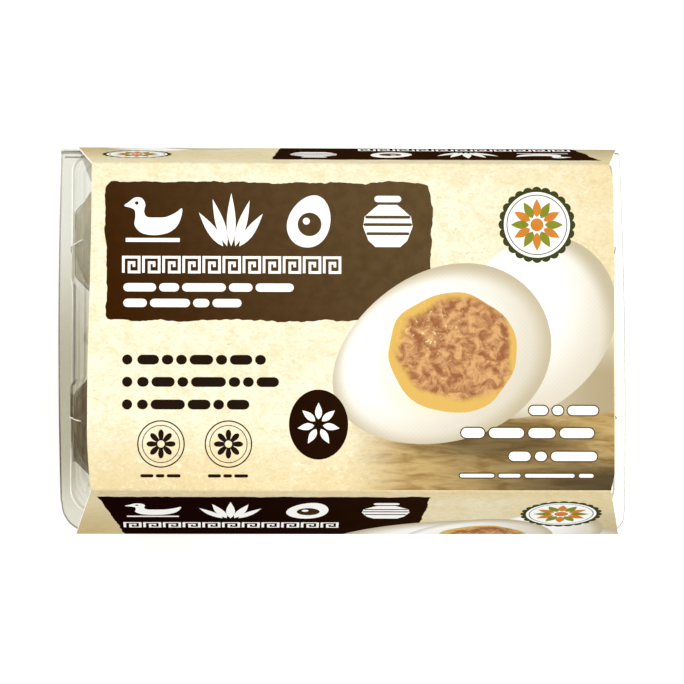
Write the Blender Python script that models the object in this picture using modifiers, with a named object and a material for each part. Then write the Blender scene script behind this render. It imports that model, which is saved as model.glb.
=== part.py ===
"""A shut six-pack of cooked salted duck eggs.

A clear thermoformed box (tray, lid and living hinge in one piece) holds six
eggs standing on their pointed ends, in three rows of two. A folded card
sleeve is wound round the box and glued under its base.

Metres, +Z up. The pack lies on its base with its hinge at +Y, its long side
along X, and the origin at the middle of its foot.
"""

import math

import bmesh
import bpy

# Eggs
EGG_LENGTH = 0.0600
EGG_BREADTH = 0.0450
EGG_BELLY_SHIFT = 0.0028  # widest place above the middle, as the blunt end is up
EGG_PITCH_X = 0.0530
EGG_PITCH_Y = 0.0518
EGG_COLUMNS = (-1, 0, 1)
EGG_ROWS = (-0.5, 0.5)
EGG_STEPS_ROUND = 28
EGG_STEPS_ALONG = 15
# Length and breadth of each egg as shares of the sizes above, front row first
EGG_SIZES = (
    (0.990, 1.000),
    (1.005, 0.985),
    (0.985, 0.995),
    (1.000, 0.998),
    (0.980, 0.985),
    (0.995, 1.000),
)

# Card sleeve
CARD = 0.00045
PACK_HEIGHT = 0.0660
SLEEVE_SHIFT_X = 0.00135  # the sleeve sits a little towards +X on the box
TOP_HALF_WIDTH = 0.0451
FOLD_HALF_WIDTH = 0.0549
FOLD_HEIGHT = 0.0280
FOOT_HALF_WIDTH = 0.0418
CREASE_RADIUS = 0.0010
CREASE_STEPS = 4
FACE_HALF_LENGTH = 0.0722
CREASE_HALF_LENGTH = 0.0711
FOLD_HALF_LENGTH = 0.0763
NOTCH_REACH = 0.0084  # how far from a crease the cut edge starts to turn in
NOTCH_STEPS = 4
SEAM_Y = 0.0340  # the bottom panel's free edge
FLAP_Y = 0.0180  # the glue flap's free edge, above the bottom panel
FLAP_HALF_LENGTH = 0.0660
GLUE_GAP = 0.00015

# Clear box
SHEET = 0.0004
FLANGE_HALF_LENGTH = 0.0801
FLANGE_BOW = 0.0009  # the flange's ends stand out this much in the middle
FLANGE_HALF_WIDTH = 0.0540
FLANGE_FRONT_RADIUS = 0.0090
FLANGE_BACK_RADIUS = 0.0012
FLANGE_GAP = 0.0003
HINGE_HALF_LENGTH = 0.0780
HINGE_DEPTH = 0.0006
WALL_HALF_LENGTH = 0.0764
WALL_HALF_WIDTH = 0.0503
WALL_BACK_CORNER = 0.0040
WALL_FRONT_CORNER = 0.0070
# The walls and the eggs stand nearer to the hinge than the flange's middle does,
# so the flange is wide along the front and narrow along the back
BOX_SHIFT_Y = 0.0015
TUB_FLOOR = 0.0190
TUB_DRAFT_X = 0.0011
TUB_DRAFT_Y = 0.0014
TUB_FLOOR_SHIFT_Y = 0.0009
BOX_FOOT = 0.0014
CUP_FOOT_RADIUS = 0.0116
CUP_SLOPE = 0.5  # growth of a cup's radius for each metre of height
CUP_SIDES = 28
LID_SKIRT_TOP = 0.0390
LID_SKIRT_DRAFT = 0.0003
LID_SKIRT_SHIFT_Y = 0.0013
LID_SHOULDER = 0.0590
LID_SHOULDER_INSET_X = 0.0042
LID_SHOULDER_INSET_Y = 0.0050
LID_SHOULDER_SHIFT_Y = 0.0005
LID_FILLET_STEPS = 3
LID_FILLET = 0.0040
LID_HEADROOM = 0.0003
CORNER_STEPS = 5
# Relief of the lid's end walls: a raised panel, and a flute between the eggs
END_PANEL_HALF_WIDTH = 0.0252
END_PANEL_PROUD = 0.0005
FLUTE_HALF_WIDTH = 0.0138
FLUTE_DEPTH = 0.0013
RELIEF_RAMP = 0.0014
BOSS_X = 0.0690
BOSS_RADII = (0.0044, 0.0034)
BOSS_TOP = 0.0300
BOSS_SIDES = 20
OVERLAP = 0.0008  # how far solids that are joined or cut run into each other

# Colours as linear RGB, roughness and metallic
CARD_LOOK = ((0.80, 0.67, 0.42), 0.55, 0.0)
CLEAR_LOOK = ((0.80, 0.80, 0.74), 0.12, 0.0)
SHELL_LOOK = ((0.46, 0.43, 0.33), 0.50, 0.0)


def clear_scene():
    for obj in list(bpy.data.objects):
        bpy.data.objects.remove(obj)


def new_collection(name, helper=False):
    made = bpy.data.collections.new(name)
    bpy.context.scene.collection.children.link(made)
    made.hide_render = helper
    return made


def material(name, look):
    colour, roughness, metallic = look
    made = bpy.data.materials.new(name)
    made.use_nodes = True
    shader = made.node_tree.nodes["Principled BSDF"]
    shader.inputs["Base Color"].default_value = (*colour, 1.0)
    shader.inputs["Roughness"].default_value = roughness
    shader.inputs["Metallic"].default_value = metallic
    return made


def new_object(name, bm, collection, look=None):
    """An object from a bmesh, with its normals outwards, in a collection."""
    bmesh.ops.recalc_face_normals(bm, faces=bm.faces)
    mesh = bpy.data.meshes.new(name)
    bm.to_mesh(mesh)
    bm.free()
    obj = bpy.data.objects.new(name, mesh)
    collection.objects.link(obj)
    if look:
        mesh.materials.append(look)
    return obj


def make_helper(obj):
    obj.hide_render = True
    obj.display_type = "WIRE"
    return obj


# Eggs


def egg_radius(along, length, breadth):
    """Radius at a place from -length/2 at the blunt end to length/2 at the tip."""
    shift = EGG_BELLY_SHIFT
    top = length**2 - 4 * along**2
    bottom = length**2 + 8 * shift * along + 4 * shift**2
    return breadth / 2 * math.sqrt(max(0.0, top / bottom))


def make_egg(name, centre_x, centre_y, length, breadth, collection, look):
    """A turned egg, blunt end up, whose tip stands just over the cup's floor."""
    bm = bmesh.new()
    rim = []
    for i in range(EGG_STEPS_ALONG + 1):
        along = -length / 2 * math.cos(math.pi * i / EGG_STEPS_ALONG)
        is_pole = i in (0, EGG_STEPS_ALONG)
        radius = 0.0 if is_pole else egg_radius(along, length, breadth)
        rim.append(bm.verts.new((radius, 0.0, -along)))
    for above, below in zip(rim, rim[1:]):
        bm.edges.new((above, below))
    obj = new_object(name, bm, collection, look)
    screw = obj.modifiers.new("Turn", "SCREW")
    screw.axis = "Z"
    screw.steps = screw.render_steps = EGG_STEPS_ROUND
    screw.use_merge_vertices = True
    screw.merge_threshold = 0.00005
    screw.use_smooth_shade = True
    tip_height = BOX_FOOT + SHEET + 0.0004
    obj.location = (centre_x, centre_y, tip_height + length / 2)
    return obj


def egg_places():
    """The centre line of each egg, front row first, from -X to +X."""
    return [
        (column * EGG_PITCH_X, BOX_SHIFT_Y + row * EGG_PITCH_Y)
        for row in EGG_ROWS
        for column in EGG_COLUMNS
    ]


def make_eggs(collection, look):
    places = zip(egg_places(), EGG_SIZES)
    for number, ((x, y), (long_share, wide_share)) in enumerate(places, 1):
        length = EGG_LENGTH * long_share
        breadth = EGG_BREADTH * wide_share
        make_egg(f"egg_{number}", x, y, length, breadth, collection, look)


# Card sleeve


def rounded_corner(before, corner, after):
    """Points of the crease's arc, and the corner itself for their cut length."""
    to_before = unit(before, corner)
    to_after = unit(after, corner)
    opening = math.acos(to_before[0] * to_after[0] + to_before[1] * to_after[1])
    run = CREASE_RADIUS / math.tan(opening / 2)
    start = (corner[0] + to_before[0] * run, corner[1] + to_before[1] * run)
    end = (corner[0] + to_after[0] * run, corner[1] + to_after[1] * run)
    points = []
    for i in range(CREASE_STEPS + 1):
        t = i / CREASE_STEPS
        # A quadratic curve from start to end, pulled to the corner
        points.append(
            tuple(
                (1 - t) ** 2 * s + 2 * t * (1 - t) * c + t**2 * e
                for s, c, e in zip(start, corner, end)
            )
        )
    return points


def unit(to_point, from_point):
    dy = to_point[0] - from_point[0]
    dz = to_point[1] - from_point[1]
    size = math.hypot(dy, dz)
    return (dy / size, dz / size)


def between(start, end, share):
    return tuple(a + (b - a) * share for a, b in zip(start, end))


def face_stations(width):
    """Distances from a panel's first crease where the cut edge has a point."""
    notch = [NOTCH_REACH * i / NOTCH_STEPS for i in range(1, NOTCH_STEPS + 1)]
    return notch + [width - d for d in reversed(notch)]


def face_cut(distance_to_crease):
    """Half length of a flat panel, drawn in by a smooth notch at its creases."""
    near = max(0.0, 1 - distance_to_crease / NOTCH_REACH)
    return FACE_HALF_LENGTH - (FACE_HALF_LENGTH - CREASE_HALF_LENGTH) * near**2


def sleeve_stations():
    """(y, z, half length) along the card's outer surface, from flap to seam."""
    flap_z = CARD + GLUE_GAP
    corners = [
        (FLAP_Y, flap_z, FLAP_HALF_LENGTH),
        (FOOT_HALF_WIDTH, flap_z, CREASE_HALF_LENGTH),
        (FOLD_HALF_WIDTH, FOLD_HEIGHT, FOLD_HALF_LENGTH),
        (TOP_HALF_WIDTH, PACK_HEIGHT, CREASE_HALF_LENGTH),
        (-TOP_HALF_WIDTH, PACK_HEIGHT, CREASE_HALF_LENGTH),
        (-FOLD_HALF_WIDTH, FOLD_HEIGHT, FOLD_HALF_LENGTH),
        (-FOOT_HALF_WIDTH, 0.0, CREASE_HALF_LENGTH),
        (SEAM_Y, 0.0, FACE_HALF_LENGTH),
    ]
    stations = [corners[0]]
    for before, corner, after in zip(corners, corners[1:], corners[2:]):
        arc = rounded_corner(before[:2], corner[:2], after[:2])
        stations += [(y, z, corner[2]) for y, z in arc]
        is_flat = corner[1] == after[1]
        if not is_flat:
            continue
        width = abs(after[0] - corner[0])
        has_far_crease = after is not corners[-1]
        for distance in face_stations(width):
            to_crease = distance
            if has_far_crease:
                to_crease = min(distance, width - distance)
            point = between(corner[:2], after[:2], distance / width)
            stations.append((*point, face_cut(to_crease)))
    stations.append(corners[-1])
    return stations


def make_sleeve(collection, look):
    bm = bmesh.new()
    previous = None
    for y, z, half_length in sleeve_stations():
        row = [
            bm.verts.new((SLEEVE_SHIFT_X + side * half_length, y, z))
            for side in (-1, 0, 1)
        ]
        if previous:
            for i in (0, 1):
                bm.faces.new((row[i], row[i + 1], previous[i + 1], previous[i]))
        previous = row
    mesh = bpy.data.meshes.new("sleeve")
    bm.to_mesh(mesh)
    bm.free()
    obj = bpy.data.objects.new("sleeve", mesh)
    collection.objects.link(obj)
    mesh.materials.append(look)
    card = obj.modifiers.new("Card", "SOLIDIFY")
    card.thickness = CARD
    card.offset = -1.0
    card.use_even_offset = True
    return obj


# Clear box


def relief(y):
    """How far a lid's end wall stands out at this place along its width."""
    return END_PANEL_PROUD * ramp(abs(y), END_PANEL_HALF_WIDTH) - (
        FLUTE_DEPTH * ramp(abs(y), FLUTE_HALF_WIDTH)
    )


def ramp(distance, edge):
    """1 inside the edge, 0 outside it, with a straight slope across it."""
    share = (edge + RELIEF_RAMP / 2 - distance) / RELIEF_RAMP
    return min(1.0, max(0.0, share))


def relief_stations():
    edges = []
    for edge in (END_PANEL_HALF_WIDTH, FLUTE_HALF_WIDTH):
        edges += [edge + RELIEF_RAMP / 2, edge - RELIEF_RAMP / 2]
    return edges + [-e for e in reversed(edges)]


def wall_outline(half_x, half_y, shift_y, skin, relief_share):
    """A rounded rectangle, anticlockwise, whose two ends carry the relief."""
    half_x -= skin
    half_y -= skin
    points = []
    for turn, (side_x, side_y) in enumerate(((1, 1), (-1, 1), (-1, -1), (1, -1))):
        corner = (WALL_BACK_CORNER if side_y > 0 else WALL_FRONT_CORNER) - skin
        for i in range(CORNER_STEPS + 1):
            angle = math.pi / 2 * (turn + i / CORNER_STEPS)
            points.append(
                (
                    side_x * (half_x - corner) + corner * math.cos(angle),
                    shift_y + side_y * (half_y - corner) + corner * math.sin(angle),
                )
            )
        if turn in (1, 3):
            for y in relief_stations():
                out = relief_share * relief(y)
                points.append((side_x * (half_x + out), shift_y - side_x * y))
    return points


def make_loft(name, rings, collection):
    """A closed solid through outlines with the same number of points."""
    bm = bmesh.new()
    loops = [[bm.verts.new((x, y, z)) for x, y in outline] for z, outline in rings]
    count = len(loops[0])
    for lower, upper in zip(loops, loops[1:]):
        for i in range(count):
            j = (i + 1) % count
            bm.faces.new((lower[i], lower[j], upper[j], upper[i]))
    bm.faces.new(list(reversed(loops[0])))
    bm.faces.new(loops[-1])
    return make_helper(new_object(name, bm, collection))


def make_cone(name, x, y, low, high, low_radius, high_radius, sides, collection):
    bm = bmesh.new()
    bmesh.ops.create_cone(
        bm,
        cap_ends=True,
        segments=sides,
        radius1=low_radius,
        radius2=high_radius,
        depth=high - low,
    )
    obj = make_helper(new_object(name, bm, collection))
    obj.location = (x, y, (low + high) / 2)
    return obj


def lid_rings(inside):
    """Outlines of the lid from its foot to its top; inside is its inner skin."""
    skin = SHEET if inside else 0.0
    top = PACK_HEIGHT - CARD - LID_HEADROOM - skin
    foot = FOLD_HEIGHT + FLANGE_GAP / 2
    # Height, insets along X and Y, shift along Y, and share of the relief
    plan = [
        (foot, 0.0, 0.0, BOX_SHIFT_Y, 1.0),
        (LID_SKIRT_TOP, LID_SKIRT_DRAFT, LID_SKIRT_DRAFT, LID_SKIRT_SHIFT_Y, 1.0),
        (LID_SHOULDER, LID_SHOULDER_INSET_X, LID_SHOULDER_INSET_Y, LID_SHOULDER_SHIFT_Y, 0.4),
    ]
    if inside:
        plan[0] = (FOLD_HEIGHT - OVERLAP, 0.0, 0.0, BOX_SHIFT_Y, 1.0)
    rise = top - LID_SHOULDER
    for i in range(1, LID_FILLET_STEPS + 1):
        angle = math.pi / 2 * i / LID_FILLET_STEPS
        turn_in = LID_FILLET * (1 - math.cos(angle))
        plan.append(
            (
                LID_SHOULDER + rise * math.sin(angle),
                LID_SHOULDER_INSET_X + turn_in,
                LID_SHOULDER_INSET_Y + turn_in,
                LID_SHOULDER_SHIFT_Y,
                0.0,
            )
        )
    return [wall_ring(*row, skin) for row in plan]


def wall_ring(z, inset_x, inset_y, shift_y, relief_share, skin):
    """A wall's outline at one height, as make_loft takes it."""
    half_x = WALL_HALF_LENGTH - inset_x
    half_y = WALL_HALF_WIDTH - inset_y
    return (z, wall_outline(half_x, half_y, shift_y, skin, relief_share))


def tub_rings(inside):
    """Outlines of the tray's upper tub, from its floor to the flange."""
    skin = SHEET if inside else 0.0
    top = FOLD_HEIGHT + OVERLAP if inside else FOLD_HEIGHT - FLANGE_GAP / 2
    return [
        wall_ring(TUB_FLOOR + skin, TUB_DRAFT_X, TUB_DRAFT_Y, TUB_FLOOR_SHIFT_Y, 1.0, skin),
        wall_ring(top, 0.0, 0.0, BOX_SHIFT_Y, 1.0, skin),
    ]


def flange_outline():
    """The flange seen from above: bowed ends, round corners away from the hinge."""
    points = []
    corners = (
        (1, 1, FLANGE_BACK_RADIUS),
        (-1, 1, FLANGE_BACK_RADIUS),
        (-1, -1, FLANGE_FRONT_RADIUS),
        (1, -1, FLANGE_FRONT_RADIUS),
    )
    half_x = FLANGE_HALF_LENGTH - FLANGE_BOW
    for turn, (side_x, side_y, radius) in enumerate(corners):
        for i in range(CORNER_STEPS + 1):
            angle = math.pi / 2 * (turn + i / CORNER_STEPS)
            points.append(
                (
                    side_x * (half_x - radius) + radius * math.cos(angle),
                    side_y * (FLANGE_HALF_WIDTH - radius) + radius * math.sin(angle),
                )
            )
        if turn in (1, 3):
            for share in (-0.7, -0.35, 0.0, 0.35, 0.7):
                y = side_x * share * FLANGE_HALF_WIDTH
                out = FLANGE_BOW * (1 - share**2)
                points.append((side_x * (half_x + out), y))
    return points


def make_clear_box(collection, look):
    """Tray, lid and hinge: outer forms joined, inner forms cut away."""
    joined = new_collection("box_outer_forms", helper=True)
    hollows = new_collection("box_hollows", helper=True)
    bosses = new_collection("box_bosses", helper=True)
    boss_bores = new_collection("box_boss_bores", helper=True)
    outline = flange_outline()
    tray_top = FOLD_HEIGHT - FLANGE_GAP / 2
    lid_foot = FOLD_HEIGHT + FLANGE_GAP / 2

    make_loft("tub_outer", tub_rings(inside=False), joined)
    make_loft("tub_inner", tub_rings(inside=True), hollows)
    make_loft("lid_outer", lid_rings(inside=False), joined)
    make_loft("lid_inner", lid_rings(inside=True), hollows)
    make_loft("lid_flange", [(z, outline) for z in (lid_foot, lid_foot + SHEET)], joined)

    for number, (x, y) in enumerate(egg_places(), 1):
        high = TUB_FLOOR + SHEET / 2
        reach = CUP_SLOPE * (high - BOX_FOOT)
        make_cone(
            f"cup_outer_{number}", x, y, BOX_FOOT, high,
            CUP_FOOT_RADIUS, CUP_FOOT_RADIUS + reach, CUP_SIDES, joined,
        )
        low = BOX_FOOT + SHEET
        high = TUB_FLOOR + SHEET + OVERLAP
        reach = CUP_SLOPE * (high - low)
        make_cone(
            f"cup_inner_{number}", x, y, low, high,
            CUP_FOOT_RADIUS - SHEET, CUP_FOOT_RADIUS - SHEET + reach, CUP_SIDES, hollows,
        )
    for side in (-1, 1):
        make_cone(
            f"boss_{side}", side * BOSS_X, BOX_SHIFT_Y, TUB_FLOOR + SHEET / 2, BOSS_TOP,
            *BOSS_RADII, BOSS_SIDES, bosses,
        )
        make_cone(
            f"boss_bore_{side}", side * BOSS_X, BOX_SHIFT_Y, TUB_FLOOR - OVERLAP, BOSS_TOP - SHEET,
            BOSS_RADII[0] - SHEET, BOSS_RADII[1] - SHEET, BOSS_SIDES, boss_bores,
        )

    hinge = bmesh.new()
    bmesh.ops.create_cube(hinge, size=1.0)
    height = 2 * SHEET + FLANGE_GAP
    bmesh.ops.scale(hinge, verts=hinge.verts, vec=(2 * HINGE_HALF_LENGTH, HINGE_DEPTH, height))
    strip = make_helper(new_object("hinge", hinge, joined))
    strip.location = (0.0, FLANGE_HALF_WIDTH - HINGE_DEPTH / 2, FOLD_HEIGHT)

    # The box grows from the tray's flange
    bm = bmesh.new()
    low = [bm.verts.new((x, y, tray_top - SHEET)) for x, y in outline]
    high = [bm.verts.new((x, y, tray_top)) for x, y in outline]
    bm.faces.new(list(reversed(low)))
    bm.faces.new(high)
    for i in range(len(outline)):
        j = (i + 1) % len(outline)
        bm.faces.new((low[i], low[j], high[j], high[i]))
    box = new_object("clear_box", bm, collection, look)
    steps = (
        ("Join", "UNION", joined),
        ("Hollow", "DIFFERENCE", hollows),
        ("Bosses", "UNION", bosses),
        ("Boss bores", "DIFFERENCE", boss_bores),
    )
    for name, operation, operands in steps:
        boolean = box.modifiers.new(name, "BOOLEAN")
        boolean.operation = operation
        boolean.operand_type = "COLLECTION"
        boolean.collection = operands
        boolean.solver = "EXACT"
    return box


def main():
    clear_scene()
    pack = new_collection("salted_duck_egg_pack")
    make_sleeve(pack, material("printed_card", CARD_LOOK))
    make_clear_box(pack, material("clear_plastic", CLEAR_LOOK))
    make_eggs(pack, material("egg_shell", SHELL_LOOK))


main()
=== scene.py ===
from math import cos, exp, hypot, pi, radians, sin, sqrt, tan

import bmesh
import bpy
from mathutils import Matrix, Vector, noise
from mathutils.geometry import delaunay_2d_cdt


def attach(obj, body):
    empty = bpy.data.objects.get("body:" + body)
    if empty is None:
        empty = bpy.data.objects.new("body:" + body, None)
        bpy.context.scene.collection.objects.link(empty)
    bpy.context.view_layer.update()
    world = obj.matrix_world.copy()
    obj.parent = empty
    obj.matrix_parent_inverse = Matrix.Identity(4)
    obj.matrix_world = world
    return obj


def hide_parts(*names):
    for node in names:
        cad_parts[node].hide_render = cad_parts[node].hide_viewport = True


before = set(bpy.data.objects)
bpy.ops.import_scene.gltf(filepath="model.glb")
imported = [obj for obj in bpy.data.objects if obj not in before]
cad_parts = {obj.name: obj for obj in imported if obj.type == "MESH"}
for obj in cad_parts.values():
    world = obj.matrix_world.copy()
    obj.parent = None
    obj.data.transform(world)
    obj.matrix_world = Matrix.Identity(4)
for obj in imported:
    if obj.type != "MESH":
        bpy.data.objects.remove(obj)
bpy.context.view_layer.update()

# Forms are worked out in millimetres and scaled when their mesh is made
MM = 0.001

# Card sleeve
CARD = 0.45
HEIGHT = 66.0
TOP_HALF = 45.1
FOLD_HALF = 54.9
FOLD_Z = 28.0
FOOT_HALF = 41.8
SEAM_Y = 34.0
FLAP_Y = 18.0
FLAP_Z = 0.6
SLEEVE_X = 1.35
FACE_LENGTH = 72.2
CREASE_LENGTH = 71.1
FOLD_LENGTH = 76.3
FLAP_LENGTH = 66.0
NOTCH_REACH = 8.4
CREASE_ROUND = 1.0
CREASE_STEPS = 6
PANEL_STEPS = 22
TOP_BOW = 0.3
ASKEW_BACK = 0.85
ASKEW_FRONT = 1.1

# Clear box
SHEET = 0.35
HINGE_SHEET = 0.2
WALL_X = 76.4
WALL_Y = 50.3
WALL_BACK_R = 4.0
WALL_FRONT_R = 7.0
BOX_SHIFT_Y = 1.5
TRAY_FLOOR_SHIFT_Y = 0.9
FLANGE_X = 80.1
FLANGE_BOW = 0.9
FLANGE_Y = 54.0
FLANGE_BACK_R = 1.2
FLANGE_FRONT_R = 8.0
FLANGE_FRONT_RIGHT_R = 5.0
FLANGE_FRONT_OUT = 0.25
LID_FLANGE_Z = 28.5
LID_TOP = 65.2
LID_TOP_ROUND = 4.2
TRAY_FLANGE_Z = 27.45
PANEL_RELIEF = 0.45
FLUTE_RELIEF = 1.5
FOOT_RELIEF = 0.25
CUP_R = 20.3
CUP_STEPS = 64

# Eggs
EGG_LENGTH = 60.0
EGG_BREADTH = 45.0
EGG_BELLY = 2.8
EGG_UNEVEN = 0.22
EGG_PITCH_X = 53.2
EGG_PITCH_Y = 51.8
EGG_TIP = 2.2


# Plain helpers


def smooth(low, high, value):
    t = min(1.0, max(0.0, (value - low) / (high - low)))
    return t * t * (3 - 2 * t)


def angles(steps):
    return [2 * pi * i / steps for i in range(steps)]


def ellipse(a, b, ra, rb, steps=48):
    return [(a + ra * cos(w), b + rb * sin(w)) for w in angles(steps)]


def arc(a, b, r, start, turn, steps):
    """Points along part of a circle, both its ends included."""
    ways = [start + turn * i / steps for i in range(steps + 1)]
    return [(a + r * cos(w), b + r * sin(w)) for w in ways]


def turned(points, a, b, turn):
    c, s = cos(turn), sin(turn)
    return [(a + x * c - y * s, b + x * s + y * c) for x, y in points]


def scaled(points, a, b, size, wide=1.0):
    return [(a + x * size * wide, b + y * size) for x, y in points]


def egg_centres():
    return [
        (c * EGG_PITCH_X, BOX_SHIFT_Y + r * EGG_PITCH_Y) for r in (-0.5, 0.5) for c in (-1, 0, 1)
    ]


def loft(bm, rings, last=None):
    """Faces between rings of (points, z), after last if given; returns the last ring."""
    for points, z in rings:
        row = [bm.verts.new((x, y, z)) for x, y in points]
        if last:
            for i in range(len(row)):
                j = (i + 1) % len(row)
                bm.faces.new((last[i], last[j], row[j], row[i]))
        last = row
    return last


def new_object(name, data):
    obj = bpy.data.objects.new(name, data)
    bpy.context.scene.collection.objects.link(obj)
    return obj


def plain_object(name, bm, materials):
    mesh = bpy.data.meshes.new(name)
    bm.to_mesh(mesh)
    bm.free()
    for vert in mesh.vertices:
        vert.co *= MM
    for m in materials:
        mesh.materials.append(m)
    return new_object(name, mesh)


def mesh_object(name, bm, materials):
    obj = plain_object(name, bm, materials)
    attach(obj, "root")
    return obj


def round_object(name, bm, materials):
    """The same, with its normals outwards and its faces shaded softly."""
    bmesh.ops.recalc_face_normals(bm, faces=bm.faces)
    for face in bm.faces:
        face.smooth = True
    return mesh_object(name, bm, materials)


# Node materials


class Look:
    """A Principled material and short calls for the nodes in front of it. place holds
    the object's coordinates in metres, and x, y and z are its parts."""

    def __init__(self, name, roughness, specular):
        self.made = bpy.data.materials.new(name)
        self.made.use_nodes = True
        self.tree = self.made.node_tree
        self.shader = self.tree.nodes["Principled BSDF"]
        self.set("Roughness", roughness)
        self.set("Specular IOR Level", specular)
        self.place = self.node("TexCoord").outputs["Object"]
        self.x, self.y, self.z = self.split(self.place)

    def put(self, socket, value):
        """Links a socket to another, or sets it to a number, a vector or three of a colour."""
        if isinstance(value, bpy.types.NodeSocket):
            self.tree.links.new(value, socket)
        else:
            socket.default_value = (*value, 1.0) if socket.type == "RGBA" else value

    def set(self, name, value):
        self.put(self.shader.inputs[name], value)

    def node(self, kind, inputs=None, **settings):
        made = self.tree.nodes.new("ShaderNode" + kind)
        for key, value in settings.items():
            setattr(made, key, value)
        for key, value in (inputs or {}).items():
            self.put(made.inputs[key], value)
        return made

    def split(self, vector):
        return self.node("SeparateXYZ", {0: vector}).outputs

    def stretched(self, scale, turn=0.0):
        inputs = {"Vector": self.place, "Rotation": (0.0, 0.0, turn), "Scale": scale}
        return self.node("Mapping", inputs).outputs[0]

    def noise(self, scale, detail=3.0, rough=0.55, distortion=0.0, vector=None):
        inputs = {
            "Vector": vector or self.place, "Scale": scale, "Detail": detail,
            "Roughness": rough, "Distortion": distortion,
        }
        return self.node("TexNoise", inputs).outputs["Fac"]

    def math(self, operation, a, b=0.0, **settings):
        return self.node("Math", {0: a, 1: b}, operation=operation, **settings).outputs[0]

    def times(self, a, b):
        return self.math("MULTIPLY", a, b)

    def plus(self, a, b):
        return self.math("ADD", a, b)

    def span(self, value, low, high, to_low=0.0, to_high=1.0, soft=True):
        inputs = {
            "Value": value, "From Min": low, "From Max": high,
            "To Min": to_low, "To Max": to_high,
        }
        kind = "SMOOTHSTEP" if soft else "LINEAR"
        return self.node("MapRange", inputs, interpolation_type=kind).outputs[0]

    def mix(self, share, a, b):
        return self.node("Mix", {0: share, 6: a, 7: b}, data_type="RGBA").outputs[2]

    def over(self, base, colour, share, strength):
        """base with a colour laid over it, by share times strength."""
        return self.mix(self.times(share, strength), base, colour)

    def painted(self, colour):
        self.set("Base Color", colour)
        return self.made

    def bump(self, height, strength, distance):
        inputs = {"Height": height, "Strength": strength, "Distance": distance}
        bent = self.node("Bump", inputs).outputs[0]
        self.set("Normal", bent)
        return bent


def srgb(r, g, b):
    """Linear colour of an sRGB colour given from 0 to 255."""
    return tuple(
        c / 255 / 12.92 if c <= 10 else ((c / 255 + 0.055) / 1.055) ** 2.4
        for c in (r, g, b)
    )


def card_look(name, rough=0.55):
    """A look with the printed board's faint tooth, and no colour yet."""
    look = Look(name, rough, 0.0)
    tooth, swell = look.noise(2600.0, 2.0), look.noise(160.0, 2.0)
    look.bump(look.plus(look.times(tooth, 0.35), swell), 0.1, 0.0004)
    return look


def paper_colour(look):
    """Cream handmade paper: soft tan mottles, pale streaks, and painted shade that makes it
    browner at its edges.
    """
    x, y, z = look.x, look.y, look.z
    # Painted shade: right, front and back brown the paper towards +X, towards the front and on the
    # side panels; cloud is the paper's own mottling
    right = look.span(x, 0.02, 0.076, 0.0, 0.7)
    front = look.span(y, -0.02, -0.047, 0.0, 0.95)
    front = look.times(front, look.span(z, 0.056, 0.0655, 0.45, 1.0))
    back = look.span(y, 0.034, 0.047, 0.0, 0.42)
    cloud = look.span(look.noise(48.0, 3.0, 0.6), 0.35, 0.68, -0.1, 0.22)
    edges = look.math("MAXIMUM", right, look.math("MAXIMUM", front, back))
    shade_and_cloud = look.math("ADD", edges, cloud, use_clamp=True)
    base = look.mix(shade_and_cloud, srgb(240, 236, 211), srgb(228, 210, 165))
    # Painted shade: darker still at the front of the -X end
    corner = look.times(front, look.span(x, -0.02, -0.07))
    base = look.over(base, srgb(212, 196, 155), corner, 0.6)
    # Painted shade: the side panels brown towards their folds, more away from the middle
    away = look.span(look.math("ABSOLUTE", x), 0.03, 0.074, 0.1, 1.0)
    fold_shade = look.times(look.span(z, 0.063, 0.03), away)
    sand = look.mix(look.span(x, -0.02, 0.07), srgb(196, 172, 124), srgb(184, 170, 140))
    base = look.over(base, sand, fold_shade, 0.88)
    blotch = look.span(look.noise(210.0, 4.0, 0.62, 0.5), 0.4, 0.66)
    base = look.over(base, srgb(222, 200, 146), blotch, 0.36)
    stretched = look.stretched((1.0, 1.7, 1.7))
    tooth = look.span(look.noise(620.0, 4.0, 0.7, 0.8, stretched), 0.42, 0.66)
    base = look.over(base, srgb(205, 183, 130), tooth, 0.36)
    pale = look.span(look.noise(480.0, 3.0, 0.6, 1.4, stretched), 0.54, 0.68)
    base = look.over(base, srgb(250, 246, 226), pale, look.span(z, 0.06, 0.065, 0.06, 0.35))
    fleck = look.span(look.noise(760.0, 2.0, 0.5, 1.0), 0.68, 0.76)
    return look.over(base, srgb(178, 140, 84), fleck, 0.38)


def paper_look():
    look = card_look("printed_paper")
    return look.painted(paper_colour(look))


def ink_look(name, colour, sheen_colour=None, mottling=0.2):
    """A flat ink with faint mottling, drifting towards +X to a lighter colour where one is given:
    a painted sheen.
    """
    look = card_look(name)
    base = colour
    if sheen_colour:
        # Painted sheen: lighter towards +X
        sheen_share = look.span(look.plus(look.x, look.times(look.y, 0.5)), -0.075, 0.045)
        base = look.mix(sheen_share, colour, sheen_colour)
    mottle = look.span(look.noise(300.0, 4.0, 0.6), 0.35, 0.7)
    return look.painted(look.over(base, tuple(c * 0.45 for c in colour), mottle, mottling))


def picture_look(name, rough=0.55):
    """A card look whose colours follow the picture's own coordinates a and b, -1 to 1."""
    look = card_look(name, rough)
    look.a, look.b = look.split(look.node("UVMap", uv_map="picture").outputs[0])[:2]
    return look


def spot(look, at_a, at_b, size_a, size_b, inner, outer=1.0, a=None):
    """1 inside a soft ellipse in picture coordinates, 0 outside it."""
    da = look.times(look.math("SUBTRACT", a or look.a, at_a), 1 / size_a)
    db = look.times(look.math("SUBTRACT", look.b, at_b), 1 / size_b)
    away = look.math("SQRT", look.plus(look.times(da, da), look.times(db, db)))
    return look.span(away, outer, inner)


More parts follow.
